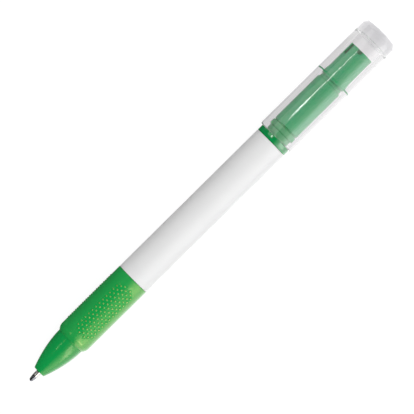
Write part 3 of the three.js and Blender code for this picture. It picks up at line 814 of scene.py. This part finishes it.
section = {
    "plugRadius": 3.65,
    "plugLength": 4.5,
    "leadLength": 0.3,       # chamfer of the plug
    "leadDepth": 0.2,
    "flangeGap": 0.05,
    "flangeRadius": 4.05,
    "flangeLength": 0.9,
    "noseRadius": 3.25,
    "tipRadius": 2.45,
    "holeRadius": 1.8,
    "edge": 0.08,
}


def makeSection():
    plugFront = holderRear - section["plugLength"]
    flangeFront = holderRear + section["flangeGap"]
    flangeRear = flangeFront + section["flangeLength"]
    tipRound = section["noseRadius"] - section["tipRadius"]
    outline = [
        (plugFront, section["holeRadius"]), (plugFront, section["plugRadius"] - section["leadDepth"]),
        (plugFront + section["leadLength"], section["plugRadius"]),
        (flangeFront, section["plugRadius"]), (flangeFront, section["flangeRadius"]),
        (flangeRear, section["flangeRadius"]), (flangeRear, section["noseRadius"]),
        *arcPoints(sectionRear - tipRound, section["tipRadius"], tipRound, 5, 90, 6),
        (sectionRear, section["holeRadius"]), (plugFront, section["holeRadius"]),
    ]
    piece = spinOutline("nibSection", outline)
    softenEdges(piece, section["edge"], 35)
    shadeSmooth(piece)
    finishPiece(piece, styreneGreenTranslucent(), "highlighter_half", "clear_green", "nib_section")


nib = {
    "radius": 1.75,
    "chisel": 1.6,           # how far back the slanted face reaches
    "thickness": 2.4,        # between its two flats
    "flatsFront": 0.6,       # where they begin, from the section's end
    "cutter": (6.0, 6.0, 4.0),
    "edge": 0.12,
}


def makeFlatCutter(side):
    # A block that cuts one of the flats, above the nib (1) or below it (-1).
    length, width, height = nib["cutter"]
    deselectAll()
    bpy.ops.mesh.primitive_cube_add(size=1, location=penPoint(sectionRear + nib["flatsFront"] + length / 2,
                                                              side * (nib["thickness"] + height) / 2))
    block = bpy.context.object
    block.scale = (length * mm, width * mm, height * mm)
    applyPlace(block)
    return block


def makeNib():
    deselectAll()
    bpy.ops.mesh.primitive_cylinder_add(vertices=64, radius=nib["radius"] * mm,
                                        depth=(nibRear - nibFront) * mm,
                                        location=penPoint((nibFront + nibRear) / 2, 0),
                                        rotation=(0, math.pi / 2, 0))
    piece = bpy.context.object
    piece.name = "nibFelt"
    applyPlace(piece)
    slant = math.atan2(nib["chisel"], 2 * nib["radius"])
    bpy.ops.object.mode_set(mode="EDIT")
    bpy.ops.mesh.select_all(action="SELECT")
    bpy.ops.mesh.bisect(plane_co=penPoint(nibRear - nib["chisel"] / 2, 0),
                        plane_no=(math.cos(slant), math.sin(slant), 0), clear_outer=True, use_fill=True)
    bpy.ops.object.mode_set(mode="OBJECT")
    for side in (-1, 1):
        booleanCut(piece, makeFlatCutter(side))
    softenEdges(piece, nib["edge"], 40)
    shadeSmooth(piece, 35)
    finishPiece(piece, feltInked(), "highlighter_half", "inked_fibre", "highlighter_nib")


print("scene: highlighter")
makeHolder()
makeSection()
makeNib()


# Inner cap that seals the nib

liner = {
    "radius": 4.2,
    "wall": 0.6,
    "endWall": 0.8,
    "taper": 1.8,
    "rimRadius": 4.45,
    "rimLength": 1.5,
    "rimEdge": 0.3,          # thickness of the rim's front edge with its chamfer
    "leadLength": 0.2,       # that chamfer
    "leadDepth": 0.1,
    "crestStation": 0.7,     # a fine crest on the rim that bites into the cap's bore
    "crestRadius": 4.53,
    "crestWidth": 0.3,
    "ventDepth": 0.45,
    "ventWidth": 1.5,
    "vents": ((-6, 1.35), (-52, 4.2)),   # degrees from straight up towards -Y, and length
    "edge": 0.1,
}


def makeVentCutter(turn, length):
    # A slot with a round end, lying on the tube and running out past its flat end.
    halfWidth = liner["ventWidth"] / 2
    start = linerRear - length + halfWidth
    depth, overrun = 1.0, 1.0
    deselectAll()
    bpy.ops.mesh.primitive_cylinder_add(
        vertices=32, radius=halfWidth * mm, depth=depth * mm,
        location=penPoint(start, liner["radius"] - liner["ventDepth"] + depth / 2))
    slot = bpy.context.object
    applyPlace(slot)
    bpy.ops.object.mode_set(mode="EDIT")
    bpy.ops.mesh.select_all(action="DESELECT")
    bpy.ops.object.mode_set(mode="OBJECT")
    middle = tipX + start * mm
    for vertex in slot.data.vertices:
        vertex.select = vertex.co.x > middle + weldDistance
    bpy.ops.object.mode_set(mode="EDIT")
    bpy.ops.transform.translate(value=((length + overrun) * mm, 0, 0))
    bpy.ops.object.mode_set(mode="OBJECT")
    slot.data.transform(turnOnPen(turn))
    return slot


def makeLiner():
    end = linerRear - liner["endWall"]
    rimRear = linerFront + liner["rimLength"]
    taperRear = rimRear + liner["taper"]
    boreRadius = liner["radius"] - liner["wall"]
    rim = liner["rimRadius"]
    crest = linerFront + liner["crestStation"]
    width = liner["crestWidth"]
    outline = [
        (end, 0), (end, boreRadius), (taperRear, boreRadius), (linerFront, rim - liner["rimEdge"]),
        (linerFront, rim - liner["leadDepth"]), (linerFront + liner["leadLength"], rim),
        (crest - width, rim), (crest - width / 2, liner["crestRadius"]),
        (crest + width / 2, liner["crestRadius"]), (crest + width, rim), (rimRear, rim),
        (taperRear, liner["radius"]), (linerRear, liner["radius"]), (linerRear, 0),
    ]
    piece = spinOutline("innerCapLiner", outline, 160)
    for turn, length in liner["vents"]:
        booleanCut(piece, makeVentCutter(turn, length))
    softenEdges(piece, liner["edge"], 50, 2)
    shadeSmooth(piece)
    material = styreneGreenTranslucent(liner["radius"] - liner["ventDepth"])
    finishPiece(piece, material, "cap", "clear_green", "inner_cap")


# Clear cap

cap = {
    "radius": 6.33,
    "endRadius": 5.6,        # edge between the bevel and the crowned end
    "bevel": 1.35,
    "crownRadius": 18.0,
    "flatRadius": 3.5,       # flat in the middle of the crown
    "endWall": 4.3,
    "mouthEdge": 0.45,
    "mouthRadius": 5.0,
    "mouthDepth": 4.4,
    "boreRadius": 4.8,
    "step": 1.0,
    "linerGap": 0.1,         # in front of the inner cap
    "linerStep": 0.6,
    "linerRadius": 4.5,
    "dome": 1.4,             # rounding of the bore's bottom
    "edge": 0.3,
}


def crownStation(radius):
    # Where the crowned end lies at a distance from the axis.
    size = cap["crownRadius"]
    return capRear + math.sqrt(size ** 2 - radius ** 2) - math.sqrt(size ** 2 - cap["flatRadius"] ** 2)


def makeCap():
    mouthRear = capFront + cap["mouthDepth"]
    seatFront = linerFront - cap["linerGap"]
    bottom = capRear - cap["endWall"]
    crown = [(crownStation(radius), radius) for radius in np.linspace(cap["endRadius"], cap["flatRadius"], 7)]
    outline = [
        (bottom, 0),
        *arcPoints(bottom - cap["dome"], cap["linerRadius"] - cap["dome"], cap["dome"], 90, 0, 6),
        (seatFront, cap["linerRadius"]), (seatFront - cap["linerStep"], cap["boreRadius"]),
        (mouthRear + cap["step"], cap["boreRadius"]), (mouthRear, cap["mouthRadius"]),
        (capFront, cap["mouthRadius"]),
        *arcPoints(capFront + cap["mouthEdge"], cap["radius"] - cap["mouthEdge"], cap["mouthEdge"],
                   -90, 0, 6),
        (crownStation(cap["endRadius"]) - cap["bevel"], cap["radius"]), *crown, (capRear, 0),
    ]
    piece = spinOutline("capClear", outline, 192)
    softenEdges(piece, cap["edge"], 30, 4)
    shadeSmooth(piece, 60)
    finishPiece(piece, sanClearPolished(), "cap", "clear_plastic", "cap")


print("scene: caps")
makeLiner()
makeCap()


# Hidden pieces keep their shape from model.glb and get their real finish

hiddenFinishes = {
    acetalMoulded: ("cam_follower", "refill_plug", "guide_sleeve", "rear_bush", "cam_drum"),
    polypropyleneNatural: ("refill_tube",),
    ballpointPaste: ("ink_column",),
    springSteelDrawn: ("return_spring",),
    nitrileMoulded: ("friction_ring",),
    fibreReservoirInked: ("ink_reservoir",),
}

print("scene: inner pieces")
for makeMaterial, names in hiddenFinishes.items():
    material = makeMaterial()
    for name in names:
        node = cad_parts[name]
        node.data.materials.clear()
        node.data.materials.append(material)


# Floor, light and camera

studio = {
    "fieldWidth": 125.28,    # millimetres across the picture, at the pen's axis
    "distance": 1030.0,
    "sensor": 36.0,
    "roll": -44.7,
    "lookX": 0.02,
    "lookY": -0.31,
    "floorSize": 6.0,        # metres
    "floorGlow": 0.85,       # share of its own white in what the camera sees of the floor
    "floorWhite": 1.1,
    "throughLeft": 0.72,     # floor seen through the clear cap, on the pen's far side, +Y
    "throughRight": 0.81,    # and on its near side
    "skyDiffuse": 0.5,
    "skyGlossy": 0.05,
    "skyPlastic": 0.9,       # sky in reflections inside the clear cap
    "floorLeft": 0.05,       # floor in reflections on the pen's far side, +Y
    "floorLeftCap": 0.35,    # the same beside the cap
    "floorLeftEnd": 1.4,     # and beside the cap's end
    "floorRight": 1.9,       # and on the near side
    "capFade": (0.032, 0.045),   # where along X the first of these turns into the second
    "endFade": (0.066, 0.073),   # and the second into the third
    "sideFade": (-0.01, 0.01),   # where along Y the near side turns into the far side
    "bounces": 40,           # the clear cap keeps light inside for long
}

# Lamps: place, aim and size in metres, radiance in watts per square metre and steradian

mainBox = {"place": (0, -0.308, 0.846), "aim": (0, 0, 0), "size": (0.5, 0.5), "radiance": 4.7}

keyWall = {
    "place": -0.5,           # the key's cards stand one above the other at this Y
    "width": 2.4,
    "cards": (               # from, to in degrees off straight up, and radiance
        (12, 22, 0.25), (22, 36, 0.8), (36, 54, 1.6), (54, 88, 2.4),
    ),
}

cards = {
    # The far upper side of the tube and cap
    "fillCard": {"place": (0.062, 0.11, 0.167), "aim": (0.05, 0, 0), "size": (0.06, 0.16),
                 "radiance": 1.0},
    # The streak along the tube, and its softer start
    "stripCard": {"place": (0.0625, 0.071, 0.176), "aim": (0.0545, 0, 0), "size": (0.036, 0.012),
                  "radiance": 8.5, "shape": "ELLIPSE"},
    "bulbCard": {"place": (0.0495, 0.071, 0.176), "aim": (0.043, 0, 0), "size": (0.0125, 0.034),
                 "radiance": 6.0, "shape": "ELLIPSE"},
    # The near side of the tube and cap, and the cap's end
    "capCard": {"place": (0.055, -0.185, 0.075), "aim": (0.05, 0, 0), "size": (0.07, 0.19),
                "radiance": 1.4},
    "endCard": {"place": (0.55, 0.35, 0.15), "aim": (0.073, 0, 0), "size": (1.0, 0.6),
                "radiance": 0.8},
    # The nose's two highlights, far and near
    "noseCard": {"place": (-0.41, 0.69, 1.06), "aim": (-0.06, 0, 0), "size": (0.3, 0.07),
                 "radiance": 8.0, "shape": "ELLIPSE"},
    "windowCard": {"place": (-0.2, -0.455, 0.363), "aim": (-0.06, 0, 0), "size": (0.12, 0.5),
                   "radiance": 3.6},
    # The far side of the metal cone alone
    "tipCard": {"place": (-0.0665, 0.03, 0.02), "aim": (-0.0735, 0, 0.006), "size": (0.008, 0.012),
                "radiance": 1.5, "spread": 24},
}


def rayKinds(material):
    # Each is 1 or 0 for a ray: seen directly or through clear plastic, seen in gloss, and gone
    # through clear plastic before.
    path = addNode(material, "LightPath", {})
    direct = addNode(material, "Math", {"operation": "MAXIMUM", 0: path["Is Camera Ray"],
                                        1: path["Is Transmission Ray"]})[0]
    plastic = addNode(material, "Math", {"operation": "GREATER_THAN", 0: path["Transmission Depth"],
                                         1: 0.5})[0]
    return direct, path["Is Glossy Ray"], plastic


def paintedBoard():
    # Matt white board, lit from above like a light table: what is seen of it directly and through
    # plastic is mostly its own white, and the rest keeps the pen's soft shadow. In the pen's gloss
    # it is pale on the lit side and dark on the far side.
    material, place = newMaterial("paintedBoard")
    along, side, upward = addNode(material, "SeparateXYZ", {"Vector": place})
    direct, glossy, plastic = rayKinds(material)
    fades = []
    for value, (start, end) in ((along, studio["capFade"]), (along, studio["endFade"]),
                                (side, studio["sideFade"])):
        fades.append(addNode(material, "MapRange", {"Value": value, "From Min": start,
                                                    "From Max": end})["Result"])
    capShare, endShare, farShare = fades
    far = addNode(material, "Mix", {0: capShare, 2: studio["floorLeft"], 3: studio["floorLeftCap"]})[0]
    far = addNode(material, "Mix", {0: endShare, 2: far, 3: studio["floorLeftEnd"]})[0]
    gloss = addNode(material, "Mix", {0: farShare, 2: studio["floorRight"], 3: far})[0]
    through = addNode(material, "Mix", {0: farShare, 2: studio["throughRight"], 3: studio["throughLeft"]})[0]
    gloss = addNode(material, "Mix", {0: plastic, 2: gloss, 3: through})[0]
    reflected = addNode(material, "Math", {"operation": "MAXIMUM", 0: glossy, 1: plastic})[0]
    strength = addNode(material, "Mix", {0: reflected, 2: studio["floorWhite"], 3: gloss})[0]
    share = addNode(material, "Math", {"operation": "MULTIPLY", 0: direct, 1: studio["floorGlow"]})[0]
    share = addNode(material, "Math", {"operation": "MAXIMUM", 0: share, 1: glossy})[0]
    board = addNode(material, "BsdfDiffuse", {"Color": srgb("#f4f4f4")})[0]
    glow = addNode(material, "Emission", {"Strength": strength})[0]
    return finishMaterial(material, addNode(material, "MixShader", {0: share, 1: board, 2: glow})[0])


def makeFloor():
    deselectAll()
    bpy.ops.mesh.primitive_plane_add(size=studio["floorSize"], location=(0, 0, 0))
    floor = bpy.context.object
    floor.name = "floor"
    floor.data.materials.append(paintedBoard())


def makeWorld():
    # White behind and through the clear cap, dim in reflections, even light on everything else.
    world = bpy.data.worlds.new("studioWorld")
    bpy.context.scene.world = world
    world.use_nodes = True
    world.node_tree.nodes.clear()
    direct, glossy, plastic = rayKinds(world)
    gloss = addNode(world, "Mix", {0: plastic, 2: studio["skyGlossy"], 3: studio["skyPlastic"]})[0]
    indirect = addNode(world, "Mix", {0: glossy, 2: studio["skyDiffuse"], 3: gloss})[0]
    strength = addNode(world, "Math", {"operation": "MAXIMUM", 0: indirect, 1: direct})[0]
    sky = addNode(world, "Background", {"Color": (1, 1, 1, 1), "Strength": strength})[0]
    addNode(world, "OutputWorld", {"Surface": sky})


def addLamp(name, place, aim, size, radiance, lights="glossy", shape="RECTANGLE", spread=180):
    # A soft box at place, turned towards aim. It either lights the surfaces (diffuse) or is the
    # bright card that their gloss shows (glossy). spread is its beam's full angle in degrees.
    deselectAll()
    bpy.ops.object.light_add(type="AREA", location=place)
    lamp = bpy.context.object
    lamp.name = name
    lamp.data.shape = shape
    lamp.data.size = size[0]
    lamp.data.size_y = size[1]
    lamp.data.energy = radiance * math.pi * size[0] * size[1]
    lamp.data.spread = math.radians(spread)
    lamp.visible_diffuse = lights == "diffuse"
    lamp.visible_glossy = lights == "glossy"
    lamp.visible_transmission = False
    lamp.visible_camera = False
    direction = Vector(aim) - Vector(place)
    lamp.rotation_euler = direction.to_track_quat("-Z", "Y").to_euler()


def addKeyCards():
    for upper, lower, radiance in keyWall["cards"]:
        top = -keyWall["place"] / math.tan(math.radians(upper))
        bottom = -keyWall["place"] / math.tan(math.radians(lower))
        middle = (bottom + top) / 2
        addLamp("keyCard", (0, keyWall["place"], middle), (0, 0, middle),
                (keyWall["width"], top - bottom), radiance)


def makeCamera():
    deselectAll()
    bpy.ops.object.camera_add(location=(studio["lookX"] * mm, studio["lookY"] * mm,
                                        axisZ + studio["distance"] * mm),
                              rotation=(0, 0, math.radians(studio["roll"])))
    camera = bpy.context.object
    camera.name = "photoCamera"
    camera.data.sensor_width = studio["sensor"]
    camera.data.lens = studio["sensor"] * studio["distance"] / studio["fieldWidth"]
    camera.data.clip_start = 0.01
    camera.data.clip_end = 20
    bpy.context.scene.camera = camera


print("scene: studio")
makeFloor()
makeWorld()
addLamp("mainBox", lights="diffuse", **mainBox)
addKeyCards()
for name, settings in cards.items():
    addLamp(name, **settings)
makeCamera()
scene = bpy.context.scene
scene.view_settings.view_transform = "Standard"
scene.cycles.max_bounces = studio["bounces"]
scene.cycles.transmission_bounces = studio["bounces"]
scene.cycles.glossy_bounces = studio["bounces"]
